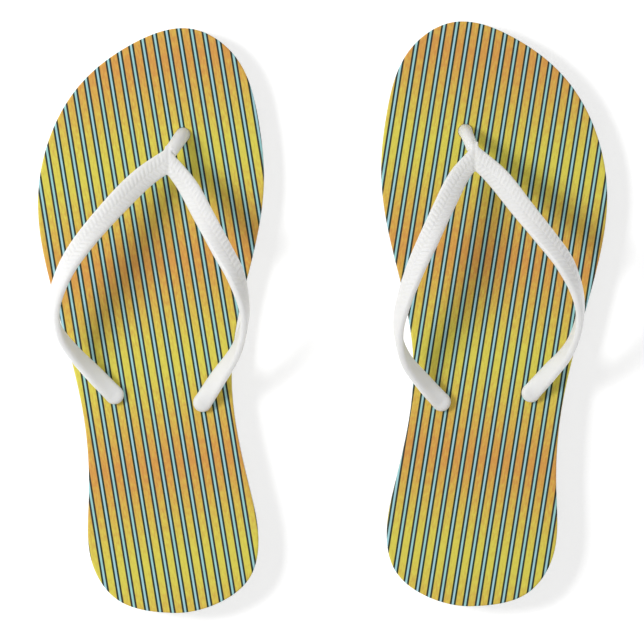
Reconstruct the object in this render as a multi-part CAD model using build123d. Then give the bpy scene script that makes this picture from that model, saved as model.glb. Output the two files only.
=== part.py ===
from build123d import *
import os
from math import cos, radians, sin

# A pair of flip-flops standing on z = 0, toes towards +Y, left shoe on the -X side.
# One shoe is drawn in a plan frame of its own: +x towards the big toe, +y towards
# the toes, the origin at the middle of the sole's length. The left shoe is that
# drawing moved aside. The right shoe is its mirror image, moved the other way.
# All lengths are millimetres and all angles are degrees.

# Where the two shoes stand
SHOE_SPACING = 153.0        # from the middle of one shoe to the middle of the other
RIGHT_SHOE_LEAD = 3.0       # how far the right shoe stands ahead of the left one

# Sole
HEEL_HEIGHT = 18.0          # footbed surface above the ground, under the heel
FOREFOOT_HEIGHT = 14.0      # the same under the toes
RAMP_START = -58.0          # the surface falls from heel to forefoot height
RAMP_END = 8.0              # between these two stations
RAMP_RADIUS = 300.0
FOOTBED_THICKNESS = 2.0
OUTSOLE_THICKNESS = 3.5
FOOTBED_RIM_RADIUS = 0.8
OUTSOLE_RIM_RADIUS = 1.5

# Outline of the sole, anticlockwise from the back of the heel
OUTLINE = [
    (9.5, -130.0),
    (31.0, -125.2),
    (44.6, -113.5),
    (48.0, -98.0),
    (44.0, -74.0),
    (37.8, -45.0),
    (36.1, -22.0),
    (39.2, 3.0),
    (46.2, 32.0),
    (50.4, 61.0),
    (47.9, 90.0),
    (37.5, 118.0),
    (18.8, 130.0),
    (-9.0, 123.0),
    (-33.0, 103.5),
    (-47.2, 75.0),
    (-50.3, 51.0),
    (-45.6, 20.0),
    (-35.5, -17.0),
    (-29.2, -47.0),
    (-27.6, -80.0),
    (-26.0, -108.0),
    (-14.0, -124.6),
]

# Tread: chevron grooves under the heel and the forefoot, plain under the arch
GROOVE_WIDTH = 1.5
GROOVE_DEPTH = 1.0
GROOVE_PITCH = 8.0
GROOVE_ANGLE = 30.0
GROOVE_LENGTH = 70.0
CHEVRON_LINE = 5.0          # the chevrons' points lie on this line beside y
TREAD_BORDER = 6.0
SHORTEST_GROOVE = 5.0
HEEL_TREAD = (-124.0, -52.0)
FOREFOOT_TREAD = (18.0, 150.0)
PLAIN_PAD_RADIUS = 13.0     # smooth ring round each plug recess

# Strap fixings through the sole
STEM_RADIUS = 3.2
HOLE_RADIUS = 3.35
RECESS_RADIUS = 10.0
RECESS_DEPTH = 5.0
WASHER_RADIUS = 9.5
WASHER_THICKNESS = 1.5
BUTTON_RADIUS = 6.0
BUTTON_THICKNESS = 2.5
BUTTON_RIM_RADIUS = 0.8

# Strap
BAND_THICKNESS = 3.4
BAND_EDGE_RADIUS = 1.5
JUNCTION_WIDTH = 12.0       # length of the crease where the two arms meet
JUNCTION_TILT = 16.0        # the crease falls towards the toes by this much
JUNCTION_LAP = 1.5          # how far each arm runs on into the other
LATERAL_WIDTHS = (10.2, 10.0, 10.0, 10.3, 10.2, 9.8, 9.3, 8.8, 8.4)
MEDIAL_WIDTHS = (9.0, 9.3, 9.9, 10.3, 10.2, 9.8, 9.3, 8.8, 8.4)
TIP_RADIUS = 4.5            # rounded end of an arm, over its hole
TIP_THICKNESS = 3.8

# Each strap hangs a little differently, so each shoe has its own routes.
# An arm runs from the junction to its hole: (x, y, height over the footbed, roll).
# Roll is 0 with the ribbed face up, 90 with it facing out, 180 with it down.
# The toe post runs from its hole to the junction: (x, y, height, radius).
LEFT = {
    "toe_post": [
        (14.3, 82.9, 0.0, 3.2),
        (13.2, 81.3, 5.0, 3.2),
        (11.2, 78.2, 10.2, 3.1),
        (8.8, 74.6, 14.4, 3.0),
    ],
    "lateral_arm": [
        (8.0, 72.2, 15.5, 0),
        (-3.5, 63.0, 19.0, -8),
        (-17.0, 49.3, 25.0, 4),
        (-29.9, 33.8, 31.0, 30),
        (-37.9, 20.7, 32.5, 50),
        (-42.1, 7.0, 28.5, 77),
        (-40.0, -4.5, 21.0, 101),
        (-34.0, -14.0, 13.5, 120),
        (-24.5, -24.2, 6.5, 145),
        (-16.1, -32.9, 2.6, 178),
    ],
    "medial_arm": [
        (8.0, 72.2, 15.5, 0),
        (16.2, 60.4, 19.5, -10),
        (24.4, 45.5, 25.0, 2),
        (31.8, 31.8, 30.0, 28),
        (38.0, 20.0, 32.0, 45),
        (41.8, 6.0, 29.0, 75),
        (41.0, -4.0, 23.5, 97),
        (37.6, -14.2, 16.5, 115),
        (29.9, -25.7, 8.0, 142),
        (23.1, -36.3, 2.6, 178),
    ],
}
RIGHT = {
    "toe_post": [
        (12.9, 81.4, 0.0, 3.2),
        (12.4, 80.0, 5.0, 2.9),
        (11.2, 77.0, 10.2, 2.8),
        (9.8, 73.4, 14.4, 2.8),
    ],
    "lateral_arm": [
        (9.0, 71.0, 15.5, 0),
        (-1.0, 60.6, 19.5, -10),
        (-12.1, 46.5, 25.0, 2),
        (-22.2, 33.8, 29.5, 25),
        (-30.8, 22.0, 32.0, 42),
        (-36.5, 8.0, 30.0, 70),
        (-36.9, -4.0, 23.5, 95),
        (-32.5, -16.0, 15.5, 115),
        (-24.0, -26.2, 7.5, 142),
        (-16.2, -35.0, 2.6, 178),
    ],
    "medial_arm": [
        (9.0, 71.0, 15.5, 0),
        (16.0, 61.0, 19.0, -8),
        (23.4, 46.3, 25.0, 4),
        (30.2, 31.5, 30.0, 28),
        (36.2, 18.0, 32.0, 45),
        (41.5, 2.0, 29.0, 75),
        (42.3, -9.0, 23.0, 97),
        (39.3, -20.5, 15.0, 115),
        (31.0, -31.0, 7.5, 142),
        (23.7, -39.0, 2.6, 178),
    ],
}

REACH = 150.0               # half-size of the tools that cut the sole, beyond its edge
OVERCUT = 1.0               # how far a cutting tool runs on past the face it opens
NEAR = 0.5                  # an edge this near a surface's height counts as on it
UP = Vector(0, 0, 1)


def surface_height(y):
    """Height of the footbed's surface at station y, without the ramp's rounding."""
    share = (y - RAMP_START) / (RAMP_END - RAMP_START)
    share = min(max(share, 0.0), 1.0)
    return HEEL_HEIGHT + share * (FOREFOOT_HEIGHT - HEEL_HEIGHT)


def holes(shoe):
    """Name and plan place of each hole, taken from where the strap ends."""
    return {
        "toe": shoe["toe_post"][0][:2],
        "lateral": shoe["lateral_arm"][-1][:2],
        "medial": shoe["medial_arm"][-1][:2],
    }


def upright(radius, bottom, top, place):
    """Cylinder between two heights at a plan place."""
    return Pos(*place, (bottom + top) / 2) * Cylinder(radius, top - bottom)


def space_below(drop):
    """Everything under the footbed's surface lowered by drop."""
    heel = HEEL_HEIGHT - drop
    forefoot = FOREFOOT_HEIGHT - drop
    surface = FilletPolyline(
        (-REACH, heel), (RAMP_START, heel), (RAMP_END, forefoot), (REACH, forefoot), radius=RAMP_RADIUS
    )
    rest = Polyline((REACH, forefoot), (REACH, -REACH), (-REACH, -REACH), (-REACH, heel))
    return extrude(Plane.YZ * make_face([surface, rest]), amount=REACH, both=True)


def sole_outline():
    return make_face(Spline(*OUTLINE, periodic=True))


def rim_edges(layer, height_of_edge):
    """Edges round the outline at a given height; the lines across the sole are left out."""
    found = []
    for edge in layer.edges():
        middle = edge.position_at(0.5)
        if edge.geom_type != GeomType.LINE and abs(middle.Z - height_of_edge(middle.Y)) < NEAR:
            found.append(edge)
    return found


def tread_field(shoe):
    """The area that grooves may cross: inside the plain border, off the arch and off the plug recesses."""
    arch_length = FOREFOOT_TREAD[0] - HEEL_TREAD[1]
    arch = Pos(0, HEEL_TREAD[1] + arch_length / 2) * Rectangle(2 * REACH, arch_length)
    field = offset(sole_outline(), amount=-TREAD_BORDER) - arch
    for place in holes(shoe).values():
        field -= Pos(*place) * Circle(PLAIN_PAD_RADIUS)
    return field


def groove(run, turn):
    """Cutting tool for one groove along a straight run that is turned this far from x."""
    middle = run @ 0.5
    slot = Pos(middle.X, middle.Y, -OVERCUT) * Rot(0, 0, turn) * SlotOverall(run.length, GROOVE_WIDTH)
    return extrude(slot, amount=GROOVE_DEPTH + OVERCUT)


def tread(shoe):
    """Rows of slanting grooves with round ends, one set on each side of the chevron line."""
    field = tread_field(shoe)
    grooves = []
    for first, last in (HEEL_TREAD, FOREFOOT_TREAD):
        for row in range(int((last - first) / GROOVE_PITCH)):
            for side in (-1, 1):
                start = Vector(CHEVRON_LINE + side * GROOVE_PITCH / 2, first + row * GROOVE_PITCH)
                slant = Vector(side * cos(radians(GROOVE_ANGLE)), -sin(radians(GROOVE_ANGLE)))
                kept = Line(start, start + slant * GROOVE_LENGTH) & field
                for run in kept.edges() if kept else []:
                    if run.length > SHORTEST_GROOVE:
                        grooves.append(groove(run, -side * GROOVE_ANGLE))
    return grooves


def sole_layers(shoe):
    """Footbed, midsole and outsole, bonded face to face, with the strap's holes."""
    block = extrude(sole_outline(), amount=HEEL_HEIGHT + OVERCUT)
    footbed = (block & space_below(0)) - space_below(FOOTBED_THICKNESS)
    footbed = fillet(rim_edges(footbed, surface_height), FOOTBED_RIM_RADIUS)
    outsole = extrude(sole_outline(), amount=OUTSOLE_THICKNESS)
    midsole = (block & space_below(FOOTBED_THICKNESS)) - outsole
    outsole = fillet(rim_edges(outsole, lambda y: 0), OUTSOLE_RIM_RADIUS)
    for place in holes(shoe).values():
        through = upright(HOLE_RADIUS, -OVERCUT, HEEL_HEIGHT + OVERCUT, place)
        recess = upright(RECESS_RADIUS, -OVERCUT, RECESS_DEPTH, place)
        footbed -= through
        midsole = midsole - through - recess
        outsole -= recess
    outsole -= tread(shoe)
    return {"footbed": footbed, "midsole": midsole, "outsole": outsole}


def washer(place):
    """Flat ring at the roof of the recess, which spreads the strap's pull."""
    bottom = RECESS_DEPTH - WASHER_THICKNESS
    ring = upright(WASHER_RADIUS, bottom, RECESS_DEPTH, place)
    return ring - upright(HOLE_RADIUS, bottom - OVERCUT, RECESS_DEPTH + OVERCUT, place)


def plug(place, top):
    """Round stem down through the sole, with the button that holds it under its washer."""
    button_top = RECESS_DEPTH - WASHER_THICKNESS
    button = upright(BUTTON_RADIUS, button_top - BUTTON_THICKNESS, button_top, place)
    button = fillet(button.edges().sort_by(Axis.Z)[0], BUTTON_RIM_RADIUS)
    return button + upright(STEM_RADIUS, button_top, top, place)


def centres(route):
    """Route points at their real heights."""
    return [Vector(x, y, surface_height(y) + height) for x, y, height, _ in route]


def directions(points):
    """Travel direction at each point, from its two neighbours."""
    last = len(points) - 1
    return [(points[min(i + 1, last)] - points[max(i - 1, 0)]).normalized() for i in range(last + 1)]


def junction_section(centre, side):
    """An arm's first section: upright, parallel to the crease, a little way past it."""
    across = Vector(0, cos(radians(JUNCTION_TILT)), -sin(radians(JUNCTION_TILT)))
    past_crease = centre - Vector(side * JUNCTION_LAP, 0, 0)
    plane = Plane(origin=past_crease, x_dir=across, z_dir=Vector(side, 0, 0))
    return plane * RectangleRounded(JUNCTION_WIDTH, BAND_THICKNESS, BAND_EDGE_RADIUS)


def arm(route, side):
    """Flat band from the junction to its hole. side is +1 on the big toe's side."""
    points = centres(route)
    sections = [junction_section(points[0], side)]
    widths = MEDIAL_WIDTHS if side > 0 else LATERAL_WIDTHS
    stations = list(zip(points, directions(points), route))
    for (centre, travel, (_, _, _, roll)), width in zip(stations[1:], widths):
        outward = travel.cross(UP).normalized() * -side
        upward = outward.cross(travel) * -side
        across = outward * cos(radians(roll)) - upward * sin(radians(roll))
        plane = Plane(origin=centre, x_dir=across, z_dir=travel)
        sections.append(plane * RectangleRounded(width, BAND_THICKNESS, BAND_EDGE_RADIUS))
    return loft(sections)


def arm_end(route):
    """Rounded tip over the hole, and the plug below it."""
    centre = centres(route)[-1]
    place = (centre.X, centre.Y)
    tip = upright(TIP_RADIUS, centre.Z - TIP_THICKNESS / 2, centre.Z + TIP_THICKNESS / 2, place)
    return tip + plug(place, centre.Z)


def toe_post(route):
    """Round post that leans back from the toe hole to the junction."""
    points = centres(route)
    sections = []
    travels = [UP] + directions(points)[1:]
    for centre, travel, (_, _, _, radius) in zip(points, travels, route):
        sections.append(Plane(origin=centre, z_dir=travel) * Circle(radius))
    place = (points[0].X, points[0].Y)
    return loft(sections) + plug(place, points[0].Z)


def strap(shoe):
    """One moulding: two arms that meet in a crease, the toe post and three plugs."""
    lateral, medial = shoe["lateral_arm"], shoe["medial_arm"]
    return arm(lateral, -1) + arm(medial, 1) + arm_end(lateral) + arm_end(medial) + toe_post(shoe["toe_post"])


def shoe_parts(shoe):
    parts = sole_layers(shoe)
    parts["strap"] = strap(shoe)
    for name, place in holes(shoe).items():
        parts[f"{name}_washer"] = washer(place)
    return parts


os.makedirs("parts", exist_ok=True)
left_place = Pos(-SHOE_SPACING / 2, -RIGHT_SHOE_LEAD / 2, 0)
right_place = Pos(SHOE_SPACING / 2, RIGHT_SHOE_LEAD / 2, 0)
for node, shape in shoe_parts(LEFT).items():
    export_step(left_place * shape, f"parts/left_{node}.step")
for node, shape in shoe_parts(RIGHT).items():
    export_step(right_place * mirror(shape, about=Plane.YZ), f"parts/right_{node}.step")
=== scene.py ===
import math

import bpy
import numpy as np
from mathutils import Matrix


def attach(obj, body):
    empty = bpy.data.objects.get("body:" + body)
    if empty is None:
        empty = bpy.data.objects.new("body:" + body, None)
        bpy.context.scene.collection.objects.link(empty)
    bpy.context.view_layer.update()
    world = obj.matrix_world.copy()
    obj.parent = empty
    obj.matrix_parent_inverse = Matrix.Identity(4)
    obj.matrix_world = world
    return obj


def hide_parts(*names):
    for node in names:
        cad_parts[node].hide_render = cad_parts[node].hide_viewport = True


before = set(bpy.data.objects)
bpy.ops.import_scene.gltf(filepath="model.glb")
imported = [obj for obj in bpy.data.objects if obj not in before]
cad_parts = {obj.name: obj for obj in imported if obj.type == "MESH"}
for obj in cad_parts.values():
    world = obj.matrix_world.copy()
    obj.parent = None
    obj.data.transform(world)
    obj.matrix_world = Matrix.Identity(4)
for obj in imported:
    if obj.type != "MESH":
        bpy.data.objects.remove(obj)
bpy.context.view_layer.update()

# A pair of printed flip-flops. The soles and washers are the CAD's own, with
# printed, foam and rubber materials. Each strap is one soft white moulding made
# here: two crowned arms that meet in a crease, a leaning toe post, and the plugs
# that hold it under the sole. Shapes are worked out in millimetres in the plan
# frame of one shoe (+x towards the big toe, +y towards the toes), then placed.
MM = 0.001

# --- Where things are, as in the CAD ------------------------------------------
SHOE_SPACING = 153.0
RIGHT_SHOE_LEAD = 3.0       # how far the right shoe stands ahead of the left one
HEEL_HEIGHT = 18.0          # the footbed's surface falls from this
FOREFOOT_HEIGHT = 14.0      # to this
RAMP_START = -58.0          # between these two stations
RAMP_END = 8.0
STEM_RADIUS = 3.2
BUTTON_RADIUS = 6.0
BUTTON_BOTTOM = 1.0
BUTTON_TOP = 3.5
BUTTON_EDGE = 0.7           # chamfer round the button's foot
STEP_GAP = 0.01             # keeps the two rings of a square step apart
UP = np.array([0.0, 0.0, 1.0])

# --- Strap --------------------------------------------------------------------
BAND_THICKNESS = 3.4
BAND_CROWN = 0.45           # how much the outer face swells along its middle
BAND_SQUARENESS = 3.6       # 2 is an ellipse, larger is closer to a rectangle
# Width at each station of a route; the first is the length of the crease
LATERAL_WIDTHS = (12.0, 10.2, 10.0, 10.0, 10.3, 10.2, 9.8, 9.3, 8.8, 8.4)
MEDIAL_WIDTHS = (12.0, 9.0, 9.3, 9.9, 10.3, 10.2, 9.8, 9.3, 8.8, 8.4)
JUNCTION_TILT = 16.0        # the crease falls towards the toes by this much
JUNCTION_LAP = 1.5          # how far each arm runs on into the other
TIP_RADIUS = 4.3            # rounded end of an arm, over its hole
TIP_THICKNESS = 3.5
TIP_ANGLES = np.radians(np.linspace(-80, 80, 17))
RING_POINTS = 56
STEPS = 24                  # samples between two stations of a route
VOXEL = 0.4                 # size of the grid that fuses the parts into one skin
SMOOTHING = 6               # rounds of smoothing, each moving a point this share of the way
SMOOTHING_SHARE = 0.5
MATCH_BLOCK = 4000          # points matched to an arm's centre line at a time

# Ribs on the outer face, as chevrons that point to the heel
RIB_PITCH = 2.2
RIB_ANGLE = 67.0            # between a rib and the arm's length
RIB_DEPTH = 0.34
RIM_WIDTH = 1.15            # smooth border along each edge
SPINE_WIDTH = 0.5           # plain line between the two rows of ribs
RIB_START = 1.6             # along the arm from the crease
RIB_FADE = (62.0, 84.0)     # the ribs die away over this stretch
RIB_SIDES = (-0.75, 0.55)   # cosine of the rib's phase at its foot and at its top
FACING_OUT = (0.45, 0.75)   # cosine off the outer face where the relief starts and is full
CREASE_DEPTH = 0.45
CREASE_WIDTH = 0.6
CREASE_RUN = (62.0, 80.0)   # the crease lies between these stations
CREASE_FACING = 0.5

# The routes follow the CAD's. The arms tilt a little more towards each other beside
# the crease, and two of them stand a little less on edge beside the foot.
# An arm's route: (x, y, height over the footbed, roll), from junction to hole.
# Roll is 0 with the ribbed face up, 90 with it facing out, 180 with it down.
# A toe post's route: (x, y, height, radius), from its hole to the junction.
LEFT = {
    "toe_post": [
        (14.3, 82.9, 0.0, 3.2),
        (13.2, 81.3, 5.0, 3.2),
        (11.2, 78.2, 10.2, 3.1),
        (8.8, 74.6, 14.4, 3.0),
    ],
    "lateral_arm": [
        (8.0, 72.2, 15.5, 0),
        (-3.5, 63.0, 19.0, -13),
        (-17.0, 49.3, 25.0, -2),
        (-29.9, 33.8, 31.0, 30),
        (-37.9, 20.7, 32.5, 50),
        (-42.1, 7.0, 28.5, 70),
        (-40.2, -4.5, 21.0, 96),
        (-34.0, -14.0, 13.5, 120),
        (-24.5, -24.2, 6.5, 145),
        (-16.1, -32.9, 2.6, 178),
    ],
    "medial_arm": [
        (8.0, 72.2, 15.5, 0),
        (16.2, 60.4, 19.5, -15),
        (24.4, 45.5, 25.0, -5),
        (31.8, 31.8, 30.0, 28),
        (38.0, 20.0, 32.0, 45),
        (41.8, 6.0, 29.0, 75),
        (41.0, -4.0, 23.5, 97),
        (37.6, -14.2, 16.5, 115),
        (29.9, -25.7, 8.0, 142),
        (23.1, -36.3, 2.6, 178),
    ],
}
RIGHT = {
    "toe_post": [
        (12.9, 81.4, 0.0, 3.2),
        (12.4, 80.0, 5.0, 2.9),
        (11.2, 77.0, 10.2, 2.8),
        (9.8, 73.4, 14.4, 2.8),
    ],
    "lateral_arm": [
        (9.0, 71.0, 15.5, 0),
        (-1.0, 60.6, 19.5, -15),
        (-12.1, 46.5, 25.0, -5),
        (-22.2, 33.8, 29.5, 25),
        (-30.8, 22.0, 32.0, 42),
        (-36.5, 8.0, 30.0, 70),
        (-36.9, -4.0, 23.5, 95),
        (-32.5, -16.0, 15.5, 115),
        (-24.0, -26.2, 7.5, 142),
        (-16.2, -35.0, 2.6, 178),
    ],
    "medial_arm": [
        (9.0, 71.0, 15.5, 0),
        (16.0, 61.0, 19.0, -13),
        (23.4, 46.3, 25.0, -2),
        (30.2, 31.5, 30.0, 28),
        (36.2, 18.0, 32.0, 45),
        (41.5, 2.0, 29.0, 62),
        (42.7, -9.0, 23.0, 84),
        (39.3, -20.5, 15.0, 115),
        (31.0, -31.0, 7.5, 142),
        (23.7, -39.0, 2.6, 178),
    ],
}

# --- Print --------------------------------------------------------------------
# The stripes slant from the toes at the outer side to the heel at the inner side.
# start is where the middle of one pale blue line crosses the plan frame's origin line.
PRINT = {
    "left": {"slant": 9.3, "pitch": 5.55, "start": -0.05},
    "right": {"slant": 9.0, "pitch": 5.49, "start": 3.72},
}
BLUE_SHARE = 0.165          # share of the pitch taken by the pale blue line
DARK_SHARE = 0.155          # and by each of the dark lines beside it
LINE_SOFTNESS = 0.012       # half the blur of a line's edge, as a share of the pitch
ORANGE_MIDDLE = 25.0        # the ground is orange here along the shoe
ORANGE_REPEAT = 89.0        # and again after this, with yellow between
YELLOW = (0.76, 0.67, 0.09)
ORANGE = (0.74, 0.35, 0.075)
TEAL = (0.35, 0.69, 0.68)
PALE_BLUE = (0.40, 0.69, 0.76)
DARK_GREEN = (0.014, 0.036, 0.018)
DARK_BROWN = (0.034, 0.034, 0.028)
BARE_SHEET = (0.78, 0.78, 0.75)
BLACK, WHITE = (0.0, 0.0, 0.0), (1.0, 1.0, 1.0)
PRINT_STRETCH = 0.28        # the grain is drawn out along the stripes by 1 over this
GRAIN_SCALE = 1.3           # features per millimetre, as for the two below
PATCH_SCALE = 0.16
WEAVE_SCALE = 1.9
WEAVE_DEPTH = 0.06 * MM
GROUND_MOTTLE = 1.1         # how far the grain shifts the ground between orange and yellow
INK_RANGE = 0.30            # spread of the ink's strength about full
PRINT_FACING = (0.25, 0.45) # upward share of the normal where the print starts and is full

# --- Foam, rubber and plastic -------------------------------------------------
NOISE_ROUGHNESS = 0.55
PORE_SCALE = 1400           # features per metre, as for the rest of these
PORE_DEPTH = 0.12 * MM
FOAM_MOTTLE_SCALE = 90
FOAM_MOTTLE = ((0.3, (0.66, 0.66, 0.64)), (0.7, (0.75, 0.75, 0.74)))
GRAIN_DEPTH = 0.03 * MM
POLISH_RANGE = 0.16         # how much a rubber's roughness varies
OUTSOLE = {"low": (0.60, 0.60, 0.58), "high": (0.68, 0.68, 0.66), "roughness": 0.62}
OUTSOLE_SCALES = {"speckle": 60, "grain_size": 2600}
WASHER = {"low": (0.70, 0.70, 0.68), "high": (0.76, 0.76, 0.74), "roughness": 0.38}
WASHER_SCALES = {"speckle": 120, "grain_size": 1500}
STRAP = {"low": (0.82, 0.82, 0.82), "high": (0.86, 0.86, 0.86), "roughness": 0.45}
STRAP_SCALES = {"speckle": 70, "grain_size": 1800}
GLOW_DEPTH = 5 * MM         # how far light travels inside the strap

# --- Camera and light ---------------------------------------------------------
VIEW_WIDTH = 286.6 * MM     # what the frame takes in at the level of the footbeds
VIEW_LEVEL = 16.0 * MM
VIEW_MIDDLE = (-0.25 * MM, -2.0 * MM)
CAMERA_HEIGHT = 4.5
CLIP_END = 20
SENSOR = 36.0
KEY_PLACE = (-1.2, 0.25, 1.46)
KEY_SIZE = 0.55
KEY_POWER = 18.6
WORLD_STRENGTH = 0.49
FLOOR_HALF = 6.0
FLOOR_GLOW = 0.4            # brings the floor up to near white


def unit(rows):
    return rows / np.linalg.norm(rows, axis=-1, keepdims=True)


def smoothstep(low, high, value):
    share = np.clip((value - low) / (high - low), 0.0, 1.0)
    return share * share * (3 - 2 * share)


def surface_height(y):
    """Height of the footbed's surface at station y."""
    share = np.clip((y - RAMP_START) / (RAMP_END - RAMP_START), 0.0, 1.0)
    return HEEL_HEIGHT + share * (FOREFOOT_HEIGHT - HEEL_HEIGHT)


def curve_through(rows, steps):
    """Smooth curve through every row, with so many samples from one row to the next."""
    ends = np.vstack([2 * rows[:1] - rows[1:2], rows, 2 * rows[-1:] - rows[-2:-1]])
    t = (np.arange(steps) / steps)[:, None]
    spans = []
    for a, b, c, d in zip(ends, ends[1:], ends[2:], ends[3:]):
        square = a - 2.5 * b + 2 * c - 0.5 * d
        cube = 3 * b - a - 3 * c + d
        spans.append(b + 0.5 * t * (c - a) + t**2 * square + 0.5 * t**3 * cube)
    return np.vstack([*spans, rows[-1:]])


# --- Strap shape --------------------------------------------------------------
def route_points(route):
    """Stations of a route at their real heights, and the last value of each."""
    route = np.array(route, float)
    points = route[:, :3].copy()
    points[:, 2] += surface_height(points[:, 1])
    return points, route[:, 3]


def arm_frames(route, side):
    """Fine centre line of an arm, with its half-width vectors and outer normals."""
    points, rolls = route_points(route)
    travel = unit(np.gradient(points, axis=0))
    outward = unit(np.cross(travel, UP)) * -side
    upward = np.cross(outward, travel) * -side
    roll = np.radians(rolls)[:, None]
    across = outward * np.cos(roll) - upward * np.sin(roll)
    facing = upward * np.cos(roll) + outward * np.sin(roll)
    tilt = math.radians(JUNCTION_TILT)
    across[0] = (0, math.cos(tilt), -math.sin(tilt))
    facing[0] = (0, math.sin(tilt), math.cos(tilt))
    points[0, 0] -= side * JUNCTION_LAP
    widths = MEDIAL_WIDTHS if side > 0 else LATERAL_WIDTHS
    half_width = across * np.array(widths)[:, None] / 2
    fine = curve_through(np.hstack([points, half_width, facing]), STEPS)
    return fine[:, :3], fine[:, 3:6], unit(fine[:, 6:9])


def band_profile():
    """One section of the band: share of the half-width, and distance out."""
    turn = np.linspace(0, 2 * math.pi, RING_POINTS, endpoint=False)
    power = 2 / BAND_SQUARENESS
    across = np.sign(np.cos(turn)) * np.abs(np.cos(turn)) ** power
    out = np.sign(np.sin(turn)) * np.abs(np.sin(turn)) ** power * BAND_THICKNESS / 2
    return across, out + (out > 0) * BAND_CROWN * (1 - across**2)


def tube(rings):
    """Closed mesh data from rings of points, capped at both ends."""
    count, size = rings.shape[:2]
    faces = []
    for ring in range(count - 1):
        for i in range(size):
            j = (i + 1) % size
            here, ahead = ring * size, (ring + 1) * size
            faces.append((here + i, here + j, ahead + j, ahead + i))
    faces.append(tuple(range(size))[::-1])
    faces.append(tuple(range((count - 1) * size, count * size)))
    return rings.reshape(-1, 3), faces


def arm_tube(frames):
    """The band's section carried along an arm's centre line."""
    centres, half_widths, normals = frames
    across, out = (share[:, None] for share in band_profile())
    return tube(centres[:, None] + across * half_widths[:, None] + out * normals[:, None])


def post_tube(route):
    """Toe post: round sections that lean back with it."""
    points, radii = route_points(route)
    fine = curve_through(np.hstack([points, radii[:, None]]), STEPS)
    centres, radius = fine[:, :3], fine[:, 3]
    lean = unit(points[-1, :2] - points[0, :2])
    sideways = np.array([-lean[1], lean[0], 0.0])
    travel = unit(np.gradient(centres, axis=0))
    forward = np.cross(travel, sideways)
    turn = np.linspace(0, 2 * math.pi, RING_POINTS, endpoint=False)[:, None]
    spokes = np.cos(turn) * sideways + np.sin(turn) * forward[:, None]
    return tube(centres[:, None] + spokes * radius[:, None, None])


def turned(place, outline):
    """Closed solid of revolution about an upright line, from (radius, height) pairs going up."""
    turn = np.linspace(0, 2 * math.pi, RING_POINTS, endpoint=False)
    circle = np.stack([np.cos(turn), np.sin(turn), np.zeros_like(turn)], axis=1)
    middle = np.array([*place, 0.0])
    rings = [middle + circle * radius + UP * height for radius, height in outline]
    return tube(np.array(rings))


def plug(place, top):
    """Stem through the sole and the button under its washer."""
    outline = [
        (BUTTON_RADIUS - BUTTON_EDGE, BUTTON_BOTTOM),
        (BUTTON_RADIUS, BUTTON_BOTTOM + BUTTON_EDGE),
        (BUTTON_RADIUS, BUTTON_TOP),
        (STEM_RADIUS, BUTTON_TOP + STEP_GAP),
        (STEM_RADIUS, top),
    ]
    return turned(place, outline)


def tip(centre):
    """Soft round end of an arm, over its hole."""
    radii = TIP_RADIUS * np.cos(TIP_ANGLES) ** (2 / BAND_SQUARENESS)
    heights = centre[2] + np.sin(TIP_ANGLES) * TIP_THICKNESS / 2
    return turned(centre[:2], zip(radii, heights))


def fused(name, bodies):
    """One skin round several overlapping closed bodies, with soft inner corners."""
    points, faces = [], []
    for body_points, body_faces in bodies:
        start = sum(len(p) for p in points)
        points.append(body_points)
        faces += [tuple(start + i for i in face) for face in body_faces]
    mesh = bpy.data.meshes.new(name)
    mesh.from_pydata(np.vstack(points).tolist(), [], faces)
    piece = bpy.data.objects.new(name, mesh)
    bpy.context.scene.collection.objects.link(piece)
    skin = piece.modifiers.new("skin", "REMESH")
    skin.mode = "VOXEL"
    skin.voxel_size = VOXEL
    soften = piece.modifiers.new("soften", "SMOOTH")
    soften.factor = SMOOTHING_SHARE
    soften.iterations = SMOOTHING
    graph = bpy.context.evaluated_depsgraph_get()
    piece.data = bpy.data.meshes.new_from_object(piece.evaluated_get(graph))
    piece.modifiers.clear()
    bpy.data.meshes.remove(mesh)
    return piece


def vectors(collection, name):
    """One vector for each item of a mesh's collection."""
    flat = np.empty(len(collection) * 3)
    collection.foreach_get(name, flat)
    return flat.reshape(-1, 3)


def arm_relief(points, normals, frames):
    """Sunk depth of the ribbed panel at each point, for the points on one arm's outer face."""
    centres, half_widths, facing = frames
    lengths = np.concatenate([[0], np.cumsum(np.linalg.norm(np.diff(centres, axis=0), axis=1))])
    nearest = np.empty(len(points), int)
    for start in range(0, len(points), MATCH_BLOCK):
        block = slice(start, start + MATCH_BLOCK)
        gaps = ((points[block, None] - centres[None]) ** 2).sum(axis=2)
        nearest[block] = gaps.argmin(axis=1)
    travel = unit(np.gradient(centres, axis=0))
    offset = points - centres[nearest]
    half = np.linalg.norm(half_widths[nearest], axis=1)
    side = (offset * unit(half_widths)[nearest]).sum(axis=1)
    along = lengths[nearest] - JUNCTION_LAP + (offset * travel[nearest]).sum(axis=1)
    on_outer_face = (offset * facing[nearest]).sum(axis=1) > 0
    near = np.linalg.norm(offset, axis=1) < half + BAND_THICKNESS

    slope = 1 / math.tan(math.radians(RIB_ANGLE))
    phase = 2 * math.pi * (along + np.abs(side) * slope) / RIB_PITCH + math.pi * (side > 0)
    ridge = smoothstep(*RIB_SIDES, np.cos(phase))
    ridge *= smoothstep(SPINE_WIDTH * 0.3, SPINE_WIDTH, np.abs(side))
    panel = smoothstep(RIM_WIDTH * 0.75, RIM_WIDTH * 1.25, half - np.abs(side))
    panel *= smoothstep(RIB_START * 0.7, RIB_START * 1.3, along)
    panel *= 1 - smoothstep(*RIB_FADE, along)
    panel *= smoothstep(*FACING_OUT, (normals * facing[nearest]).sum(axis=1))
    return RIB_DEPTH * panel * (1 - ridge) * on_outer_face * near


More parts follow.
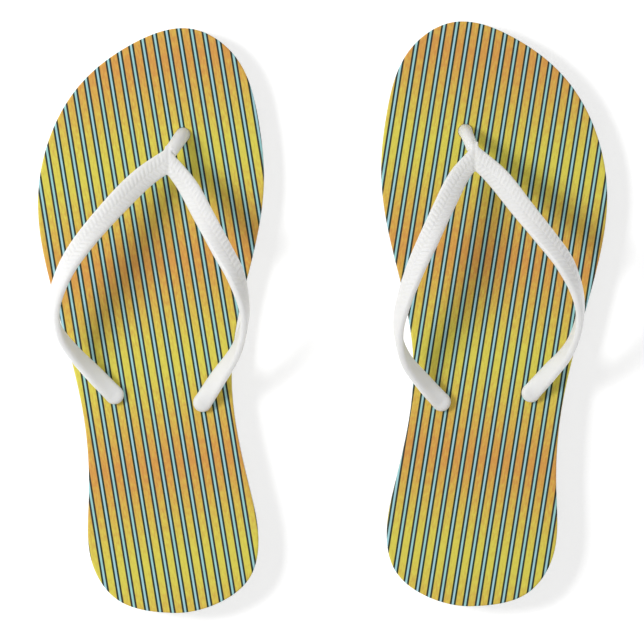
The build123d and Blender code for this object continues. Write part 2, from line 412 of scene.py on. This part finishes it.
def strap(side, shoe):
    """The whole moulding of one shoe, riding on that shoe."""
    arms = {
        "lateral": arm_frames(shoe["lateral_arm"], -1),
        "medial": arm_frames(shoe["medial_arm"], 1),
    }
    post_foot = route_points(shoe["toe_post"])[0][0]
    bodies = [arm_tube(frames) for frames in arms.values()]
    bodies += [post_tube(shoe["toe_post"]), plug(post_foot[:2], post_foot[2] + 1)]
    for frames in arms.values():
        end = frames[0][-1]
        bodies += [tip(end), plug(end[:2], end[2])]
    piece = fused(f"{side}_strap_moulding", bodies)
    mesh = piece.data
    points = vectors(mesh.vertices, "co")
    normals = vectors(mesh.vertex_normals, "vector")

    crease = shoe["medial_arm"][0][0]
    sunk = np.where(
        points[:, 0] < crease,
        arm_relief(points, normals, arms["lateral"]),
        arm_relief(points, normals, arms["medial"]),
    )
    in_crease = (points[:, 1] > CREASE_RUN[0]) & (points[:, 1] < CREASE_RUN[1])
    in_crease &= normals[:, 2] > CREASE_FACING
    sunk += in_crease * CREASE_DEPTH * np.exp(-(((points[:, 0] - crease) / CREASE_WIDTH) ** 2))
    points = points - normals * sunk[:, None]

    if side == "left":
        points += (-SHOE_SPACING / 2, -RIGHT_SHOE_LEAD / 2, 0)
    else:
        points = points * (-1, 1, 1) + (SHOE_SPACING / 2, RIGHT_SHOE_LEAD / 2, 0)
        mesh.flip_normals()
    mesh.vertices.foreach_set("co", (points * MM).ravel())
    mesh.shade_smooth()
    mesh.update()
    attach(piece, f"{side}_shoe")
    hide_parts(f"{side}_strap")
    return piece


# --- Materials ----------------------------------------------------------------
def new_material(name, roughness):
    """A material with its node tree and shader."""
    material = bpy.data.materials.new(name)
    material.use_nodes = True
    shader = material.node_tree.nodes["Principled BSDF"]
    shader.inputs["Roughness"].default_value = roughness
    return material, material.node_tree, shader


def node(tree, kind, **settings):
    """A new node with its settings."""
    made = tree.nodes.new(kind)
    for key, value in settings.items():
        setattr(made, key, value)
    return made


def math_node(tree, operation, first, second=0.0, third=0.0):
    """Result of one operation on up to three values, each a number or a socket."""
    made = node(tree, "ShaderNodeMath", operation=operation)
    for socket, value in zip(made.inputs, (first, second, third)):
        if isinstance(value, (int, float)):
            socket.default_value = value
        else:
            tree.links.new(value, socket)
    return made.outputs[0]


def mixed(tree, share, first, second):
    """Blend of two colours, each a tuple or a socket."""
    made = node(tree, "ShaderNodeMix", data_type="RGBA")
    tree.links.new(share, made.inputs[0])
    for socket, colour in ((made.inputs[6], first), (made.inputs[7], second)):
        if isinstance(colour, tuple):
            socket.default_value = (*colour, 1.0)
        else:
            tree.links.new(colour, socket)
    return made.outputs[2]


def noise(tree, coordinates, scale, detail=3.0):
    """Soft noise between 0 and 1."""
    made = node(tree, "ShaderNodeTexNoise")
    made.inputs["Scale"].default_value = scale
    made.inputs["Detail"].default_value = detail
    made.inputs["Roughness"].default_value = NOISE_ROUGHNESS
    tree.links.new(coordinates, made.inputs["Vector"])
    return made.outputs["Fac"]


def bump(tree, shader, height, distance, strength):
    """Fine surface relief from a height between 0 and 1."""
    made = node(tree, "ShaderNodeBump")
    made.inputs["Strength"].default_value = strength
    made.inputs["Distance"].default_value = distance
    tree.links.new(height, made.inputs["Height"])
    tree.links.new(made.outputs["Normal"], shader.inputs["Normal"])


def object_coordinates(tree):
    return node(tree, "ShaderNodeTexCoord").outputs["Object"]


def ramp(tree, share, stops):
    """Colour ramp with (position, colour) stops."""
    made = node(tree, "ShaderNodeValToRGB")
    elements = made.color_ramp.elements
    while len(elements) < len(stops):
        elements.new(0.5)
    for element, (position, colour) in zip(elements, stops):
        element.position = position
        element.color = (*colour, 1.0)
    tree.links.new(share, made.inputs[0])
    return made.outputs[0]


def step_at(tree, share, edge):
    """0 below an edge and 1 above it, with a slight blur."""
    return ramp(tree, share, ((edge - LINE_SOFTNESS, BLACK), (edge + LINE_SOFTNESS, WHITE)))


def dot(tree, coordinates, vector):
    """Share of the coordinates that lies along a vector."""
    made = node(tree, "ShaderNodeVectorMath", operation="DOT_PRODUCT")
    tree.links.new(coordinates, made.inputs[0])
    made.inputs[1].default_value = vector
    return made.outputs["Value"]


def print_material(side):
    """Printed top sheet: slanting stripes on a ground that runs from yellow to orange and back."""
    look = PRINT[side]
    hand = 1 if side == "left" else -1
    material, tree, shader = new_material(f"{side}_printed_sheet", 0.62)
    shader.inputs["Specular IOR Level"].default_value = 0.28
    place = node(tree, "ShaderNodeMapping")
    place.inputs["Location"].default_value = (
        hand * SHOE_SPACING / 2 * MM,
        hand * RIGHT_SHOE_LEAD / 2 * MM,
        0,
    )
    tree.links.new(object_coordinates(tree), place.inputs["Vector"])
    coordinates = place.outputs["Vector"]
    slant = math.radians(look["slant"])
    across = dot(tree, coordinates, (hand * math.cos(slant) / MM, math.sin(slant) / MM, 0))
    along = dot(tree, coordinates, (-hand * math.sin(slant) / MM, math.cos(slant) / MM, 0))
    stretched = node(tree, "ShaderNodeCombineXYZ")
    tree.links.new(across, stretched.inputs[0])
    tree.links.new(math_node(tree, "MULTIPLY", along, PRINT_STRETCH), stretched.inputs[1])
    grain = noise(tree, stretched.outputs[0], GRAIN_SCALE, 2.0)
    patches = noise(tree, stretched.outputs[0], PATCH_SCALE, 2.0)

    # Ground colour along the stripes
    wave = math_node(tree, "SUBTRACT", along, ORANGE_MIDDLE)
    wave = math_node(tree, "PINGPONG", wave, ORANGE_REPEAT / 2)
    wave = math_node(tree, "DIVIDE", wave, ORANGE_REPEAT / 2)
    mottle = math_node(tree, "MULTIPLY_ADD", grain, GROUND_MOTTLE, -GROUND_MOTTLE / 2)
    wave = math_node(tree, "ADD", wave, mottle)
    ground = ramp(tree, wave, ((0.02, ORANGE), (0.9, YELLOW)))
    blue = ramp(tree, patches, ((0.42, TEAL), (0.58, PALE_BLUE)))
    dark = ramp(tree, patches, ((0.4, DARK_BROWN), (0.6, DARK_GREEN)))

    # Stripes across, by distance from the nearest pale blue line: blue, then dark, then ground
    turn = math_node(tree, "SUBTRACT", across, look["start"])
    turn = math_node(tree, "FRACT", math_node(tree, "DIVIDE", turn, look["pitch"]))
    from_blue = math_node(tree, "PINGPONG", turn, 0.5)
    blue_half = BLUE_SHARE / 2
    is_dark = step_at(tree, from_blue, blue_half)
    is_ground = step_at(tree, from_blue, blue_half + DARK_SHARE)
    colour = mixed(tree, is_ground, mixed(tree, is_dark, blue, dark), ground)

    # Ink density varies a little, and the cut edge below the print is bare
    ink = math_node(tree, "MULTIPLY_ADD", grain, INK_RANGE, 1 - INK_RANGE / 2)
    inked = node(tree, "ShaderNodeVectorMath", operation="SCALE")
    tree.links.new(colour, inked.inputs[0])
    tree.links.new(ink, inked.inputs["Scale"])
    normal = node(tree, "ShaderNodeNewGeometry").outputs["Normal"]
    facing_up = dot(tree, normal, (0, 0, 1))
    printed = ramp(tree, facing_up, tuple(zip(PRINT_FACING, (BLACK, WHITE))))
    tree.links.new(mixed(tree, printed, BARE_SHEET, inked.outputs[0]), shader.inputs["Base Color"])
    weave = node(tree, "ShaderNodeTexVoronoi")
    weave.inputs["Scale"].default_value = WEAVE_SCALE
    tree.links.new(stretched.outputs[0], weave.inputs["Vector"])
    bump(tree, shader, weave.outputs["Distance"], WEAVE_DEPTH, 0.6)
    return material


def foam_material():
    """White closed-cell foam: fine pores and a faint mottle."""
    material, tree, shader = new_material("white_foam", 0.78)
    shader.inputs["Specular IOR Level"].default_value = 0.3
    coordinates = object_coordinates(tree)
    mottle = noise(tree, coordinates, FOAM_MOTTLE_SCALE)
    pores = node(tree, "ShaderNodeTexVoronoi")
    pores.inputs["Scale"].default_value = PORE_SCALE
    tree.links.new(coordinates, pores.inputs["Vector"])
    tree.links.new(ramp(tree, mottle, FOAM_MOTTLE), shader.inputs["Base Color"])
    bump(tree, shader, pores.outputs["Distance"], PORE_DEPTH, 0.7)
    return material


def rubber_material(name, low, high, roughness, speckle, grain_size, soft=False):
    """Moulded rubber or plastic: a faint cloudiness and a fine grain. A soft one lets light in."""
    material, tree, shader = new_material(name, roughness)
    if soft:
        shader.inputs["Subsurface Weight"].default_value = 0.8
        shader.inputs["Subsurface Radius"].default_value = (1.0, 1.0, 0.95)
        shader.inputs["Subsurface Scale"].default_value = GLOW_DEPTH
        shader.inputs["Specular IOR Level"].default_value = 0.3
    coordinates = object_coordinates(tree)
    clouds = noise(tree, coordinates, speckle)
    tree.links.new(ramp(tree, clouds, ((0.3, low), (0.7, high))), shader.inputs["Base Color"])
    patches = noise(tree, coordinates, speckle * 3)
    rough = math_node(tree, "MULTIPLY_ADD", patches, POLISH_RANGE, roughness - POLISH_RANGE / 2)
    tree.links.new(rough, shader.inputs["Roughness"])
    bump(tree, shader, noise(tree, coordinates, grain_size, 2), GRAIN_DEPTH, 0.8)
    return material


def dress():
    """Materials of the CAD's own nodes."""
    foam = foam_material()
    outsole = rubber_material("outsole_rubber", **OUTSOLE, **OUTSOLE_SCALES)
    washer = rubber_material("washer_plastic", **WASHER, **WASHER_SCALES)
    for side in ("left", "right"):
        looks = {"footbed": print_material(side), "midsole": foam, "outsole": outsole}
        looks |= {f"{hole}_washer": washer for hole in ("toe", "lateral", "medial")}
        for name, material in looks.items():
            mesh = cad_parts[f"{side}_{name}"].data
            mesh.materials.clear()
            mesh.materials.append(material)


# --- Stage --------------------------------------------------------------------
def camera():
    """Looks straight down from far away, as the pair is shown."""
    data = bpy.data.cameras.new("view")
    data.sensor_width = SENSOR
    data.lens = SENSOR * (CAMERA_HEIGHT - VIEW_LEVEL) / VIEW_WIDTH
    data.clip_end = CLIP_END
    eye = bpy.data.objects.new("view", data)
    eye.location = (*VIEW_MIDDLE, CAMERA_HEIGHT)
    bpy.context.scene.collection.objects.link(eye)
    bpy.context.scene.camera = eye


def key_light():
    """Square soft light aimed at the middle of the pair."""
    data = bpy.data.lights.new("key", "AREA")
    data.size = KEY_SIZE
    data.energy = KEY_POWER
    lamp = bpy.data.objects.new("key", data)
    lamp.location = KEY_PLACE
    lamp.rotation_euler = (-lamp.location).to_track_quat("-Z", "Y").to_euler()
    lamp.visible_camera = False
    bpy.context.scene.collection.objects.link(lamp)


def floor():
    """Plain floor, near white."""
    material, _, shader = new_material("floor", 0.9)
    shader.inputs["Base Color"].default_value = (0.9, 0.9, 0.9, 1)
    shader.inputs["Specular IOR Level"].default_value = 0.0
    shader.inputs["Emission Color"].default_value = (1, 1, 1, 1)
    shader.inputs["Emission Strength"].default_value = FLOOR_GLOW
    mesh = bpy.data.meshes.new("floor")
    corners = [(x * FLOOR_HALF, y * FLOOR_HALF, 0) for x, y in ((-1, -1), (1, -1), (1, 1), (-1, 1))]
    mesh.from_pydata(corners, [], [(0, 1, 2, 3)])
    mesh.materials.append(material)
    ground = bpy.data.objects.new("floor", mesh)
    bpy.context.scene.collection.objects.link(ground)


def light():
    """Soft light from the left, about 50 degrees up, and a white studio round it."""
    world = bpy.data.worlds.new("studio")
    world.use_nodes = True
    background = world.node_tree.nodes["Background"]
    background.inputs["Color"].default_value = (1, 1, 1, 1)
    background.inputs["Strength"].default_value = WORLD_STRENGTH
    bpy.context.scene.world = world
    key_light()
    bpy.context.scene.view_settings.view_transform = "Standard"


camera()
light()
floor()
dress()
strap_look = rubber_material("strap_rubber", **STRAP, **STRAP_SCALES, soft=True)
for side, shoe in (("left", LEFT), ("right", RIGHT)):
    strap(side, shoe).data.materials.append(strap_look)
